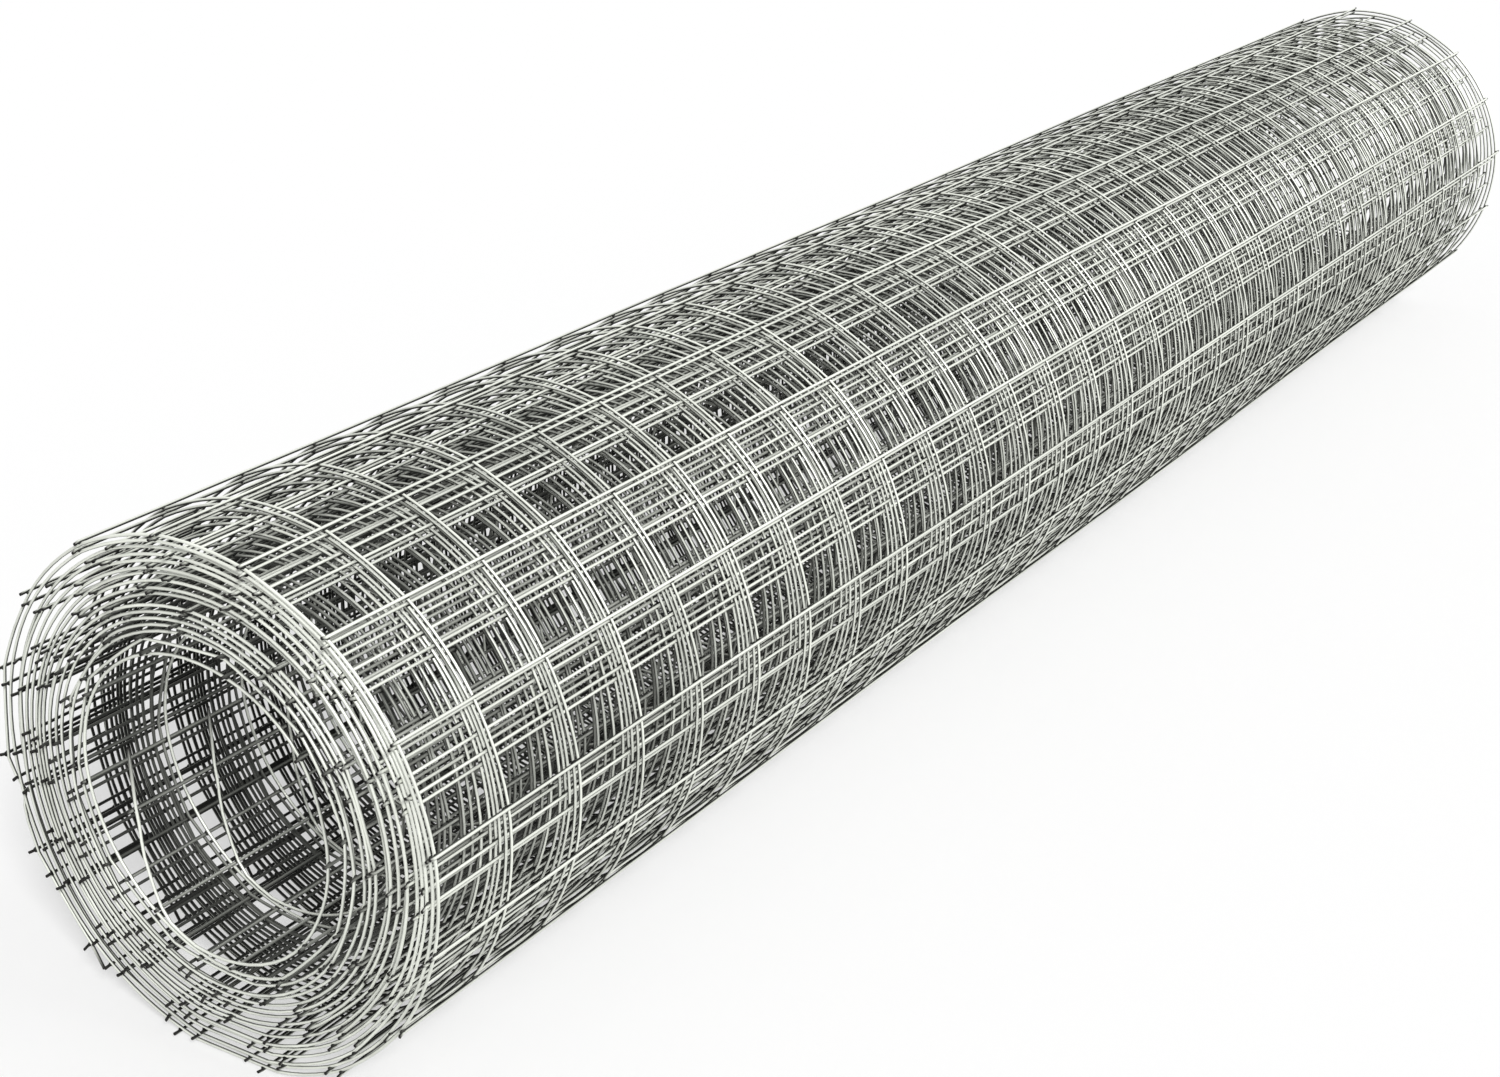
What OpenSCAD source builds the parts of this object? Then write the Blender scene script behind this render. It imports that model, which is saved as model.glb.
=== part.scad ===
// Roll of welded wire mesh, lying on its side. +X runs along the roll, +Z is up, and the origin
// is on the floor under the middle of the roll. Sizes are in millimetres.
// The roll is one turned solid: each turn shows on both ends as a ridge where the cut tips of
// its cross wires stand, and the grooves between the ridges reach down to the edge wires.

/* [Mesh] */
// Spacing of the wires, centre to centre, along and across the mesh
mesh_pitch = 50; // [25:1:100]
// Diameter of the galvanised wire
wire_d = 1.6; // [1:0.1:4]
// Number of mesh openings across the width of the mesh
openings_across = 30; // [10:1:40]
// Length of the cut cross wire tips past the middle of the edge wires
tip_l = 5; // [3:0.5:15]

/* [Roll] */
// Diameter of the clear bore inside the loose first turn
bore_d = 140; // [60:1:300]
// Radial gap between the loose first turn and the tight turns
loose_gap = 7; // [2:0.1:30]
// Depth of that gap, as it is cut into each end
loose_gap_depth = 50; // [10:1:100]
// Number of tight turns around the loose one
tight_turns = 16; // [3:1:30]
// Radial slack between one tight turn and the next
turn_slack = 0; // [0:0.05:3]

/* [Hidden] */

// Rendering steps around the roll
round_steps = 96;
// One turn is a line wire with a cross wire welded on its outside
turn_t = 2 * wire_d;
// Middle of one edge wire to the middle of the other
mesh_w = mesh_pitch * openings_across;
// From the middle of the roll to the outside of an edge wire, and to the cut tips
edge_x = mesh_w / 2 + wire_d / 2;
tip_x = mesh_w / 2 + tip_l;

// Inside radius of the loose turn, and of each tight turn
bore_r = bore_d / 2;
tight_r = bore_r + turn_t + loose_gap;
turn_step = turn_t + turn_slack;
turn_radii = concat([bore_r], [for (i = [0 : tight_turns - 1]) tight_r + i * turn_step]);
roll_r = turn_radii[tight_turns] + turn_t;

// A rectangle of the half section, from one radius to another and from one place along the roll
// to another
module band(r_from, r_to, x_from, x_to) {
    translate([r_from, x_from])
        square([r_to - r_from, x_to - x_from]);
}

// The gap beside the loose turn, open at one end of the roll
module gap_section() {
    band(bore_r + turn_t, tight_r, edge_x - loose_gap_depth, edge_x + wire_d);
}

// Half section of the roll: a body as long as the edge wires are apart, and the ring of cross
// wires of each turn reaching out of it at both ends
module roll_section() {
    difference() {
        band(bore_r, roll_r, -edge_x, edge_x);
        gap_section();
        mirror([0, 1]) gap_section();
    }
    for (r = turn_radii)
        band(r + wire_d, r + turn_t, -tip_x, tip_x);
}

module mesh_roll() {
    color("silver")
        translate([0, 0, roll_r])
            rotate([0, 90, 0])
                rotate_extrude($fn = round_steps)
                    roll_section();
}

mesh_roll();
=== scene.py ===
import math

import bpy
import numpy as np
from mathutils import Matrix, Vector


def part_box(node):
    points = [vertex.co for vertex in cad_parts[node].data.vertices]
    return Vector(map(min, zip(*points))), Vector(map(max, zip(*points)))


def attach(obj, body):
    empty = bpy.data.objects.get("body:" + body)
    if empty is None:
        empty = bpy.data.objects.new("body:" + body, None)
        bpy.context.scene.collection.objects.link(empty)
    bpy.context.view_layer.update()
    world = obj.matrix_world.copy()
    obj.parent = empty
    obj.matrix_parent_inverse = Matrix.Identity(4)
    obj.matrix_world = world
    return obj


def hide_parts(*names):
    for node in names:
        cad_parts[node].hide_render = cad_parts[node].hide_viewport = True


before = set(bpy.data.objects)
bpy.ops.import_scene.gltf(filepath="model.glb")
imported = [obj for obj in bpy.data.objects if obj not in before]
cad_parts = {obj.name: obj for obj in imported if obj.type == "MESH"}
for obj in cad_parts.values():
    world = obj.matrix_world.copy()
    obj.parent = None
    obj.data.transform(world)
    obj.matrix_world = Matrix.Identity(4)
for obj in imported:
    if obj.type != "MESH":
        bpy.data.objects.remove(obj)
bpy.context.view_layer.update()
bpy.ops.object.select_all(action="DESELECT")

# Camera
# It stands off the near end of the roll, right of the axis and above it, and looks along the
# roll towards its far end.
image_width = 1500
focal_pixels = 2352
sensor_width = 36.0
stand_off = 0.645
stand_right = 0.701
stand_above = 0.509
look_left = math.radians(32.7)
look_down = math.radians(22.4)

roll_low, roll_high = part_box("mesh_roll")
roll_r = (roll_high.z - roll_low.z) / 2
axis_z = roll_low.z + roll_r
mesh_pitch = 0.050
openings_across = 30
half_width = mesh_pitch * openings_across / 2

bpy.ops.object.camera_add(
    location=(-half_width - stand_off, -stand_right, axis_z + stand_above),
    rotation=(math.pi / 2 - look_down, 0, look_left - math.pi / 2),
)
camera = bpy.context.object
camera.name = "camera"
camera.data.sensor_width = sensor_width
camera.data.lens = focal_pixels / image_width * sensor_width
bpy.context.scene.camera = camera

# Line wires
# Drawn and galvanised steel wires that run the length of the mesh, one at every opening. They are
# wound up with it, from a free end in the core, through a loose first turn and the tight turns
# around that, to a cut end that springs off the outside.
millimetre = 0.001
full_turn = 2 * math.pi
wire_r = 0.0008
weld_sink = 0.00025
cross_offset = 2 * wire_r - weld_sink
least_step = cross_offset + 2 * wire_r

# The tight turns, counted in from the outer end of the mesh, and how evenly they were wound
outer_end_angle = math.radians(228.5)
outer_r = 0.1300
turn_step = 0.0031
tight_turns = 15.8
even_turns = 2
evening_turns = 3
winding_waves = (7.1, 5.3, 3.1)
winding_wander = 0.0004

# How far the roll has settled out of round, in degrees and millimetres, and the inner turns' share
sag = (
    (-60, 3.3), (-30, 2.8), (0, 2.1), (30, 0.8), (60, 0), (90, -0.3),
    (120, -0.8), (150, -2.3), (180, -3.5), (210, -2.3), (228, -0.3), (270, 2.3),
)
sag_inside = 0.4

# How far the outer end has lifted off the turn below, in turns and millimetres
lift = ((0, 3.2), (0.06, 3.6), (0.135, 3.2), (0.22, 2.0), (0.30, 0.6), (0.385, 0.2), (0.47, 0))

# The loose first turn, and the straight inner end that stands off it into the core, in turns
# counted in from the outer end and millimetres from the axis
loose_turn = (
    (16.08, 74.8), (16.25, 76.4), (16.40, 75.0), (16.53, 75.8), (16.60, 72.6),
    (16.72, 72.2), (16.84, 74.6), (16.915, 76.5), (16.957, 74.5), (16.993, 63.7),
    (17.054, 50.7), (17.121, 45.5), (17.19, 49.7),
)
loosening_turns = 0.28

sag_angles, sag_heights = np.array(sag).T * [[math.radians(1)], [millimetre]]
lift_turns, lift_heights = np.array(lift).T * [[1], [millimetre]]
loose_turns, loose_radii = np.array(loose_turn).T * [[1], [millimetre]]

chance = np.random.default_rng(12)


def smooth_step(x):
    x = np.clip(x, 0, 1)
    return x * x * (3 - 2 * x)


def wander(at, lengths, size):
    """A smooth wave of about this size: the sum of one sine for each length, started by chance."""
    starts = chance.uniform(0, full_turn, len(lengths))
    waves = [np.sin(full_turn * at / length + start) for length, start in zip(lengths, starts)]
    return size * np.sum(waves, axis=0) / math.sqrt(len(lengths))


def wound_radius(turns_in, angle):
    """Radius of the line wires, by the turns counted in from the outer end and the angle."""
    settled = np.interp(angle, sag_angles, sag_heights, period=full_turn)
    settled = settled * np.interp(turns_in, [0, tight_turns], [1, sag_inside])
    uneven = wander(turns_in, winding_waves, winding_wander)
    uneven = uneven * smooth_step((turns_in - even_turns) / evening_turns)
    tight = outer_r - turn_step * turns_in + settled + uneven
    loose = np.interp(turns_in, loose_turns, loose_radii)
    loosened = smooth_step((turns_in - tight_turns) / loosening_turns)
    lifted = np.interp(turns_in, lift_turns, lift_heights)
    return tight + (loose - tight) * loosened + lifted


path_steps_per_turn = 400


def wind():
    """The path of the mesh: length from its inner end, angle and radius of the line wires."""
    turns = loose_turns[-1]
    turns_in = np.linspace(turns, 0, path_steps_per_turn * math.ceil(turns))
    angles = outer_end_angle - full_turn * turns_in
    radii = wound_radius(turns_in, angles)
    steps = np.hypot(np.diff(radii), radii[1:] * np.diff(angles))
    return np.r_[0, np.cumsum(steps)], angles, radii


def seat_turns(angles, radii):
    """Lifts each turn where its line wires would cut the cross wires of the turn below."""
    for below, angle in enumerate(angles + full_turn):
        above = int(np.searchsorted(angles, angle)) - 1
        if above + 1 >= len(angles):
            break
        along = (angle - angles[above]) / (angles[above + 1] - angles[above])
        height = radii[above] * (1 - along) + radii[above + 1] * along
        lack = radii[below] + least_step - height
        if lack > 0:
            share = lack / (along**2 + (1 - along) ** 2)
            radii[above] += share * (1 - along)
            radii[above + 1] += share * along


least_straight = 0.35
most_straight = 0.8
least_reach = 0.05


def bulge(along):
    """A hump from one cross wire to the next, 1 high halfway between them."""
    return 4 * along * (1 - along)


def straighten(angles, radii):
    """How far each stretch of line wire pulls in from its arc, as far as the turn below lets it."""
    spans = np.diff(angles)
    straightness = chance.uniform(least_straight, most_straight, len(spans))
    turns_in = (outer_end_angle - angles[1:]) / full_turn
    straightness[turns_in > tight_turns] = 0
    pulls = straightness * radii[1:] * (1 - np.cos(spans / 2))
    for below, angle in enumerate(angles + full_turn):
        above = int(np.searchsorted(angles, angle)) - 1
        if above + 1 >= len(angles):
            break
        along = (angle - angles[above]) / spans[above]
        height = radii[above] * (1 - along) + radii[above + 1] * along
        room = max(0, height - radii[below] - least_step)
        pulls[above] = min(pulls[above], room / max(least_reach, bulge(along)))
    return pulls


# The cross wires lie one pitch apart along the path, counted in from its outer end
seat_waves = (0.41, 0.23)
seat_wander = 0.0003
path_at, path_angles, path_radii = wind()
cross_at = np.arange(path_at[-1], 0, -mesh_pitch)[::-1]
cross_count = len(cross_at)
cross_angles = np.interp(cross_at, path_at, path_angles)
path_cross_radii = np.interp(cross_at, path_at, path_radii)
cross_radii = path_cross_radii + wander(cross_at, seat_waves, seat_wander)
seat_turns(cross_angles, cross_radii)
pulls = straighten(cross_angles, cross_radii)

# The points of one line wire, with a cut end inside the first cross wire and past the last
points_per_opening = 6
outer_cut = 0.013
outer_spring = 0.005
openings_along = cross_count - 1
openings = np.arange(openings_along * points_per_opening + 1) / points_per_opening
stretch = np.minimum(openings.astype(int), openings_along - 1)
line_at = np.r_[0, cross_at[0] + openings * mesh_pitch, cross_at[-1] + outer_cut]
line_angles = np.interp(line_at, path_at, path_angles)
line_radii = np.interp(line_at, path_at, path_radii)
line_radii += np.interp(line_at, cross_at, cross_radii - path_cross_radii)
line_radii[1:-1] -= pulls[stretch] * bulge(openings - stretch)
line_angles[-1] += outer_cut / line_radii[-1]
line_radii[-1] += outer_spring

# The mesh slid to and fro along the roll as it was wound, and most over the middle turns, by the
# turns counted out from the core and millimetres
slide_waves = (1.73, 1.03, 0.71)
slide_wander = 0.0016
slide_bulge = ((0, 0), (4.5, 0), (8, 5), (11, 4), (16, 2))
slide_angle = math.radians(40)
slide_back = 0.001
slide_turns, slide_sizes = np.array(slide_bulge).T * [[1], [millimetre]]
slide_side = (1 + np.cos(line_angles - slide_angle)) / 2
slide = wander(line_at, slide_waves, slide_wander)
turns_out = tight_turns - (outer_end_angle - line_angles) / full_turn
slide_most = np.interp(turns_out, slide_turns, slide_sizes)
slide += slide_most * slide_side - slide_back

# Each wire lies a little out of its place, and the roll a little out of round along its length
column_error = 0.0004
swell_size = 0.0004
swell_waves = (1.1, 0.63, 0.8)
settle_drop = 0.0018
settle_angle = math.radians(-70)
wire_error = 0.00004
columns = np.arange(openings_across + 1) * mesh_pitch - half_width
columns = columns + chance.normal(0, column_error, len(columns))
line_count = len(columns)
swell_starts = chance.uniform(0, full_turn, len(swell_waves))


def swell(x, angle):
    """How far the roll is out of round, by place along it and angle."""
    first, second, third = (full_turn * x / wave for wave in swell_waves)
    oval = np.cos(2 * angle + first + swell_starts[0])
    lobed = np.cos(3 * angle - second + swell_starts[1])
    even = np.sin(third + swell_starts[2])
    settled = settle_drop * x / half_width * np.cos(angle - settle_angle)
    return swell_size * (oval + lobed + even) - settled


wire_errors = chance.normal(0, wire_error, (line_count, cross_count))
wire_errors = np.array([np.interp(line_at, cross_at, row) for row in wire_errors])
wire_radii = line_radii + swell(columns[:, None], line_angles) + wire_errors

# The edge wire at the near end is dented in where the roll was pulled tight
dent_angle = math.radians(192)
dent_width = math.radians(3.2)
dent_depth = 0.0055
last_turn = line_angles > outer_end_angle - math.pi
dent = np.exp(-(((line_angles - dent_angle) / dent_width) ** 2))
wire_radii[0] -= dent_depth * dent * last_turn

# Under the roll the outer turns are pressed flat, so that the lowest cross wires lie on the floor
flattest_slope = 0.5
turns_below = np.floor((outer_end_angle - line_angles) / full_turn)
floor_drop = axis_z - wire_r - cross_offset - least_step * turns_below
wire_radii = np.minimum(wire_radii, floor_drop / np.maximum(flattest_slope, -np.sin(line_angles)))


def around(angle, radius):
    """The place across the roll at an angle, from the viewer's right and up over the top."""
    return np.stack([-radius * np.cos(angle), axis_z + radius * np.sin(angle)], axis=-1)


# The chart that the points are laid out on has its tones across and the cut ends along its top
chart_side = 0.02
chart_width = 0.96
chart_foot = 0.05
chart_spread = 0.1
chart_height = 0.8


def paint(mesh, tone, cut, spread):
    """Gives each point its zinc tone, painted shade included, and cut end, and lays the points out
    on a chart by both.
    """
    mesh.attributes.new("zinc_tone_and_painted_shade", "FLOAT", "POINT").data.foreach_set("value", tone.astype("f"))
    mesh.attributes.new("cut_end", "FLOAT", "POINT").data.foreach_set("value", cut.astype("f"))
    corners = np.empty(len(mesh.loops), "i")
    mesh.loops.foreach_get("vertex_index", corners)
    across = chart_side + chart_width * tone
    up = chart_foot + chart_spread * spread + chart_height * cut
    chart = np.stack([across, up], axis=-1)
    mesh.uv_layers.new(name="OFBake").data.foreach_set("uv", chart[corners].ravel().astype("f"))


wire_sides = 6
around_wire = np.arange(wire_sides) / wire_sides * full_turn
faces_out = np.cos(around_wire)
faces_along = np.sin(around_wire)
spread_around = np.abs(np.arange(wire_sides) - wire_sides / 2) / wire_sides * 2


def wire_mesh(name, centres, outward, sideways, tones, cuts):
    """One mesh of round wires, each along its row of centres, with a flat face on both ends."""
    wires, rings = centres.shape[:2]
    rim = faces_out[:, None] * outward[:, :, None] + faces_along[:, None] * sideways[:, :, None]
    points = centres[:, :, None] + wire_r * rim
    number = np.arange(wires * rings * wire_sides).reshape(wires, rings, wire_sides)
    onward = np.roll(number, -1, axis=2)
    walls = np.stack([number[:, :-1], onward[:, :-1], onward[:, 1:], number[:, 1:]], axis=-1)
    faces = walls.reshape(-1, 4).tolist()
    faces += number[:, 0, ::-1].tolist()
    faces += number[:, -1].tolist()
    mesh = bpy.data.meshes.new(name)
    mesh.from_pydata(points.reshape(-1, 3), [], faces)
    mesh.shade_smooth()
    ends = np.zeros(len(faces), bool)
    ends[-2 * wires:] = True
    mesh.attributes.new("sharp_face", "BOOLEAN", "FACE").data.foreach_set("value", ends)
    point_cuts = np.repeat(cuts.ravel(), wire_sides)
    paint(mesh, tones.ravel(), point_cuts, np.tile(spread_around, wires * rings))
    piece = bpy.data.objects.new(name, mesh)
    bpy.context.scene.collection.objects.link(piece)
    return piece


# Greys of the zinc by its tone, from nearly black where painted shade is deepest to the bright zinc
# in the open
# The darkest grey is painted shade, for wire sides and inner turns turned away from the light
painted_shade_zinc = (0.008, 0.008, 0.008, 1)
bright_zinc = (0.945, 0.97, 0.885, 1)
zinc_greys = ((0.3, 0.10), (0.65, 0.62))
zinc_tint = (0.99, 1.02, 0.93)
bare_steel = (0.02, 0.019, 0.018, 1)
zinc_metal = 0.3
zinc_gloss = 0.04
# Roughness follows the tone, so the sides in painted shade are also rougher
shaded_roughness = 0.55
bright_roughness = 0.33


def galvanised_zinc():
    """Dull zinc over steel, mottled along the wire, darkened by painted shade, with bare dark steel
    where cut.
    """
    material = bpy.data.materials.new("galvanised_zinc")
    material.use_nodes = True
    nodes = material.node_tree.nodes
    links = material.node_tree.links
    shader = nodes["Principled BSDF"]
    tone = nodes.new("ShaderNodeAttribute")
    tone.attribute_name = "zinc_tone_and_painted_shade"
    cut = nodes.new("ShaderNodeAttribute")
    cut.attribute_name = "cut_end"
    greys = nodes.new("ShaderNodeValToRGB")
    greys.color_ramp.elements[0].color = painted_shade_zinc
    greys.color_ramp.elements[1].color = bright_zinc
    for place, grey in zinc_greys:
        greys.color_ramp.elements.new(place).color = (*(grey * tint for tint in zinc_tint), 1)
    bare = nodes.new("ShaderNodeMix")
    bare.data_type = "RGBA"
    bare.inputs["B"].default_value = bare_steel
    dull = nodes.new("ShaderNodeMapRange")
    dull.inputs["To Min"].default_value = shaded_roughness
    dull.inputs["To Max"].default_value = bright_roughness
    links.new(tone.outputs["Fac"], greys.inputs["Fac"])
    links.new(greys.outputs["Color"], bare.inputs["A"])
    links.new(cut.outputs["Fac"], bare.inputs["Factor"])
    links.new(bare.outputs["Result"], shader.inputs["Base Color"])
    links.new(tone.outputs["Fac"], dull.inputs["Value"])
    links.new(dull.outputs["Result"], shader.inputs["Roughness"])
    shader.inputs["Metallic"].default_value = zinc_metal
    shader.inputs["Specular IOR Level"].default_value = zinc_gloss
    return material


# Painted light and shade: the sides of the wires that face out of the roll are painted bright, less
# and less from turn to turn going in, as are the loose turn's sides that face the core; the sides
# turned away get painted shade
outside_turns = (2.5, 5, 10, 15)
outside_painted_light = (1, 1, 0.65, 0.4)
core_turns = (1.2, 1.6, 2.8, 5, 9)
line_core_painted_light = (0.95, 0.5, 0.36, 0.26, 0.05)
# The edge wires' sides that face the ends of the roll get this much painted light
end_painted_light = 0.88
half_open = 0.25
opening_rate = 1.1
mean_tone = 0.95
tone_by_wire = 0.06
tone_by_point = 0.04
tone_wander = 0.07
line_tone_waves = (0.93, 0.37, 0.13)


def painted_light_facing(side):
    """How much painted light a face of the wire gets, by the cosine between it and the open side.
    """
    return np.clip(0.5 + opening_rate * (side - half_open), 0, 1)


def painted_light_share(angles, core_painted_light):
    """How bright the zinc is painted around wires at these angles of the winding, as painted light
    and shade.
    """
    turns_in = (outer_end_angle - angles) / full_turn
    turns_from_core = (angles - angles[0]) / full_turn
    outside = np.interp(turns_in, outside_turns, outside_painted_light)
    inside = np.interp(turns_from_core, core_turns, core_painted_light)
    return np.maximum(outside[:, None] * painted_light_facing(faces_out), inside[:, None] * painted_light_facing(-faces_out))


def mottled(places, waves):
    """Tones along wires, one row for each: from wire to wire, from point to point and in waves."""
    tones = mean_tone + chance.normal(0, tone_by_wire, (len(places), 1))
    tones = tones + chance.normal(0, tone_by_point, places.shape)
    return tones + np.array([wander(row, waves, tone_wander) for row in places])


zinc = galvanised_zinc()
wire_groups = 4
line_places = np.empty((line_count, len(line_at), 3))
line_places[:, :, 0] = columns[:, None] + slide
line_places[:, :, 1:] = around(line_angles, wire_radii)
line_outward = np.zeros_like(line_places)
line_outward[:, :, 1] = -np.cos(line_angles)
line_outward[:, :, 2] = np.sin(line_angles)
line_sideways = np.zeros_like(line_places)
line_sideways[:, :, 0] = 1
line_tones = mottled(np.tile(line_at, (line_count, 1)), line_tone_waves)
# Painted light on the sides that face out and painted shade on those that face in
line_painted_light = np.repeat(painted_light_share(line_angles, line_core_painted_light)[None], line_count, axis=0)
# The edge wires are painted bright on their sides that face the ends of the roll
line_painted_light[0] = np.maximum(line_painted_light[0], end_painted_light * painted_light_facing(-faces_along))
line_painted_light[-1] = np.maximum(line_painted_light[-1], end_painted_light * painted_light_facing(faces_along))
line_tones = np.clip(line_tones[:, :, None] * line_painted_light, 0, 1)
line_cuts = np.zeros(line_places.shape[:2])
line_cuts[:, [0, -1]] = 1
for group, members in enumerate(np.array_split(np.arange(line_count), wire_groups)):
    piece = wire_mesh(
        f"line_wires_{group + 1}",
        line_places[members],
        line_outward[members],
        line_sideways[members],
        line_tones[members],
        line_cuts[members],
    )
    piece.data.materials.append(zinc)
    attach(piece, "root")
    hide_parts("mesh_roll")

# Cross wires
# Straight galvanised wires across the width of the mesh, one at every opening, welded on the
# outside of the line wires and cut off a little past the edge wires.
tip_length = 0.0043
tip_error = 0.0005
shortest_tip = 0.0035
longest_tip = 0.006
tip_bending = 0.0004
cut_length = 0.0028
skew_error = 0.0008
# Painted light on the cross wires' sides that face the core, fading turn by turn from the loose
# turn
cross_core_painted_light = (0.5, 0.4, 0.3, 0.25, 0.05)
cross_tone_waves = (0.61, 0.29)
cross_slide = np.interp(cross_at, line_at, slide)
skew = chance.normal(0, skew_error, cross_count)
tips = chance.normal(tip_length, tip_error, (cross_count, 2))
tips = np.clip(tips, shortest_tip, longest_tip)

# Each has a point at every line wire, and two more for the cut tip at both ends
tip_points = 2
cross_points = line_count + 2 * tip_points
at_lines = slice(tip_points, -tip_points)
crossing_x = np.empty((cross_count, cross_points))
crossing_x[:, at_lines] = columns
crossing_x[:, 0] = columns[0] - tips[:, 0]
crossing_x[:, 1] = crossing_x[:, 0] + cut_length
crossing_x[:, -1] = columns[-1] + tips[:, 1]
crossing_x[:, -2] = crossing_x[:, -1] - cut_length
nearest_line = np.clip(np.arange(cross_points) - tip_points, 0, line_count - 1)
at_stop = np.arange(cross_count) * points_per_opening + 1
crossing_r = wire_radii[:, at_stop].T[:, nearest_line] + cross_offset
crossing_angle = cross_angles[:, None] + skew[:, None] * crossing_x / half_width / crossing_r
cross_places = np.empty((cross_count, cross_points, 3))
cross_places[:, :, 0] = crossing_x + cross_slide[:, None]
cross_places[:, :, 1:] = around(crossing_angle, crossing_r)
tip_bends = chance.normal(0, tip_bending, (cross_count, 2, 2))
cross_places[:, 0, 1:] += tip_bends[:, 0]
cross_places[:, -1, 1:] += tip_bends[:, 1]
cross_outward = np.zeros_like(cross_places)
cross_outward[:, :, 1] = -np.cos(cross_angles)[:, None]
cross_outward[:, :, 2] = np.sin(cross_angles)[:, None]
cross_sideways = np.zeros_like(cross_places)
cross_sideways[:, :, 1] = np.sin(cross_angles)[:, None]
cross_sideways[:, :, 2] = np.cos(cross_angles)[:, None]
cross_tones = mottled(crossing_x, cross_tone_waves)
# Painted light and shade on the cross wires, as on the line wires
cross_painted_light = painted_light_share(cross_angles, cross_core_painted_light)
cross_tones = np.clip(cross_tones[:, :, None] * cross_painted_light[:, None], 0, 1)
cross_cuts = np.zeros_like(crossing_x)
cross_cuts[:, [0, -1]] = 1
piece = wire_mesh(
    "cross_wires",
    cross_places,
    cross_outward,
    cross_sideways,
    cross_tones,
    cross_cuts,
)
piece.data.materials.append(zinc)
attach(piece, "root")
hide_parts("mesh_roll")

# Welds
# Where a cross wire lies on a line wire the two are fused by resistance welding, which leaves a low
# dark bead of zinc and steel in the corners of the crossing.
weld_length = 0.0016
weld_height = 0.0011
weld_smallest = 0.8
weld_largest = 1.15
weld_tone = 0.08
weld_tone_error = 0.05
weld_top_tone = 0.03
bpy.ops.mesh.primitive_ico_sphere_add(subdivisions=1, radius=1)
bead = bpy.context.object
bead_points = np.array([vertex.co for vertex in bead.data.vertices])
bead_faces = np.array([list(face.vertices) for face in bead.data.polygons])
bpy.data.objects.remove(bead)
weld_outward = cross_outward[:, at_lines].reshape(-1, 3)
weld_along = cross_sideways[:, at_lines].reshape(-1, 3)
weld_across = np.tile((1.0, 0.0, 0.0), (len(weld_outward), 1))
weld_centres = cross_places[:, at_lines].reshape(-1, 3) - weld_outward * cross_offset / 2
weld_count = len(weld_centres)
weld_sizes = chance.uniform(weld_smallest, weld_largest, (weld_count, 1, 1))
weld_points = weld_centres[:, None] + weld_sizes * (
    bead_points[:, :1] * weld_length * weld_across[:, None]
    + bead_points[:, 1:2] * weld_length * weld_along[:, None]
    + bead_points[:, 2:] * weld_height * weld_outward[:, None]
)
weld_faces = np.arange(weld_count)[:, None, None] * len(bead_points) + bead_faces
mesh = bpy.data.meshes.new("welds")
mesh.from_pydata(weld_points.reshape(-1, 3), [], weld_faces.reshape(-1, 3).tolist())
mesh.shade_smooth()
weld_tones = chance.normal(weld_tone, weld_tone_error, (weld_count, 1))
weld_tones = weld_tones + weld_top_tone * bead_points[:, 2]
weld_tones = np.clip(weld_tones, 0, 1).ravel()
weld_spread = np.tile((1 + bead_points[:, 0]) / 2, weld_count)
paint(mesh, weld_tones, np.zeros_like(weld_tones), weld_spread)
welds = bpy.data.objects.new("welds", mesh)
bpy.context.scene.collection.objects.link(welds)
welds.data.materials.append(zinc)
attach(welds, "root")
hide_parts("mesh_roll")

# Floor and light
# A wide white floor that keeps the roll's shadow, a dim white room, a far lamp in front of the roll
# and up on the viewer's right, and a weaker, softer one further along on the same side.
floor_size = 40
floor_shine = 0.475
floor_shade = 0.5
floor_bounce = 0.5
room_light = 0.38
lamp_from = Vector((-0.50, -0.63, 0.59))
lamp_strength = 2.85
lamp_spread = math.radians(12)
fill_from = Vector((0.34, -0.62, 0.71))
fill_strength = 0.6
fill_spread = math.radians(40)


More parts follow.
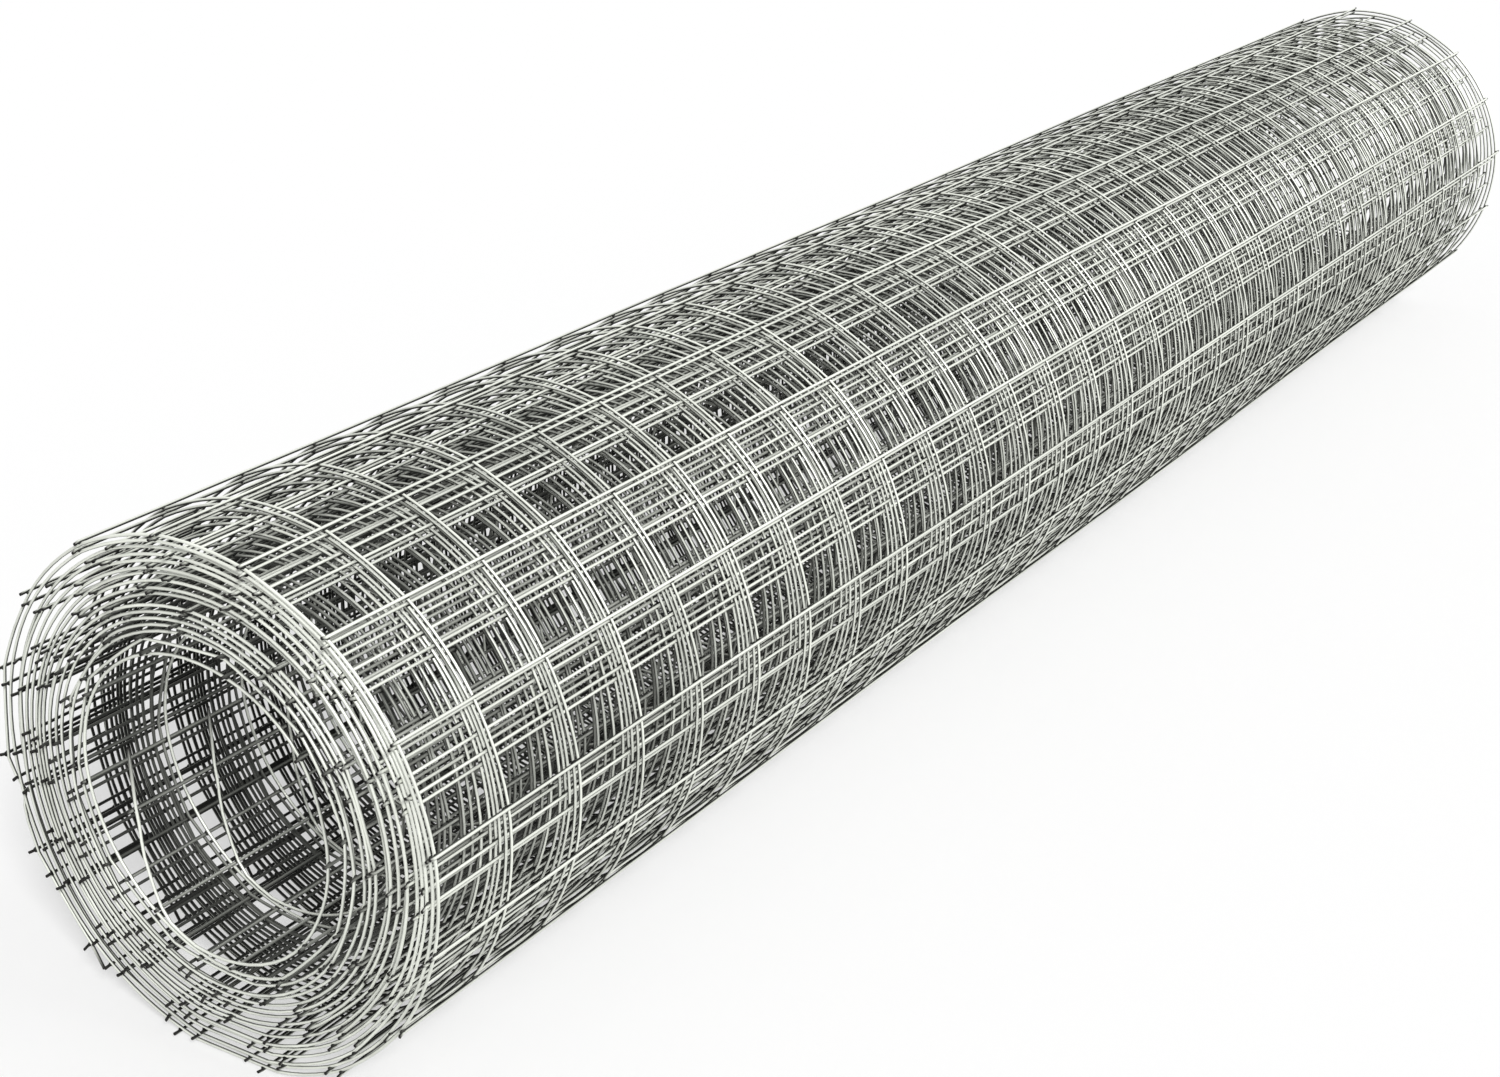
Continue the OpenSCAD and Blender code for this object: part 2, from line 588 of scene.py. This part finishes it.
def seen_directly(nodes, links):
    """1 for rays from the camera, off shiny surfaces and through clear ones, 0 for soft light."""
    path = nodes.new("ShaderNodeLightPath")
    first = nodes.new("ShaderNodeMath")
    first.operation = "MAXIMUM"
    both = nodes.new("ShaderNodeMath")
    both.operation = "MAXIMUM"
    links.new(path.outputs["Is Camera Ray"], first.inputs[0])
    links.new(path.outputs["Is Glossy Ray"], first.inputs[1])
    links.new(first.outputs[0], both.inputs[0])
    links.new(path.outputs["Is Transmission Ray"], both.inputs[1])
    return both.outputs[0]


bpy.ops.mesh.primitive_plane_add(size=floor_size, location=(0, 0, 0))
floor = bpy.context.object
floor.name = "floor"
paper = bpy.data.materials.new("white_floor")
paper.use_nodes = True
nodes = paper.node_tree.nodes
links = paper.node_tree.links
nodes.remove(nodes["Principled BSDF"])
bounce = nodes.new("ShaderNodeBsdfDiffuse")
bounce.inputs["Color"].default_value = (floor_bounce, floor_bounce, floor_bounce, 1)
shade = nodes.new("ShaderNodeBsdfDiffuse")
shade.inputs["Color"].default_value = (floor_shade, floor_shade, floor_shade, 1)
shine = nodes.new("ShaderNodeEmission")
shine.inputs["Strength"].default_value = floor_shine
shaded = nodes.new("ShaderNodeAddShader")
chosen = nodes.new("ShaderNodeMixShader")
links.new(shade.outputs[0], shaded.inputs[0])
links.new(shine.outputs[0], shaded.inputs[1])
links.new(seen_directly(nodes, links), chosen.inputs[0])
links.new(bounce.outputs[0], chosen.inputs[1])
links.new(shaded.outputs[0], chosen.inputs[2])
links.new(chosen.outputs[0], nodes["Material Output"].inputs["Surface"])
floor.data.materials.append(paper)

world = bpy.data.worlds.new("studio")
bpy.context.scene.world = world
world.use_nodes = True
nodes = world.node_tree.nodes
links = world.node_tree.links
brightness = nodes.new("ShaderNodeMapRange")
brightness.inputs["To Min"].default_value = room_light
links.new(seen_directly(nodes, links), brightness.inputs["Value"])
links.new(brightness.outputs["Result"], nodes["Background"].inputs["Strength"])
nodes["Background"].inputs["Color"].default_value = (1, 1, 1, 1)

lamps = (
    ("lamp", lamp_from, lamp_strength, lamp_spread),
    ("fill_lamp", fill_from, fill_strength, fill_spread),
)
for name, shines_from, strength, spread in lamps:
    aim = shines_from.to_track_quat("Z", "Y").to_euler()
    bpy.ops.object.light_add(type="SUN", rotation=aim)
    lamp = bpy.context.object
    lamp.name = name
    lamp.data.energy = strength
    lamp.data.angle = spread

bpy.context.scene.view_settings.view_transform = "Standard"
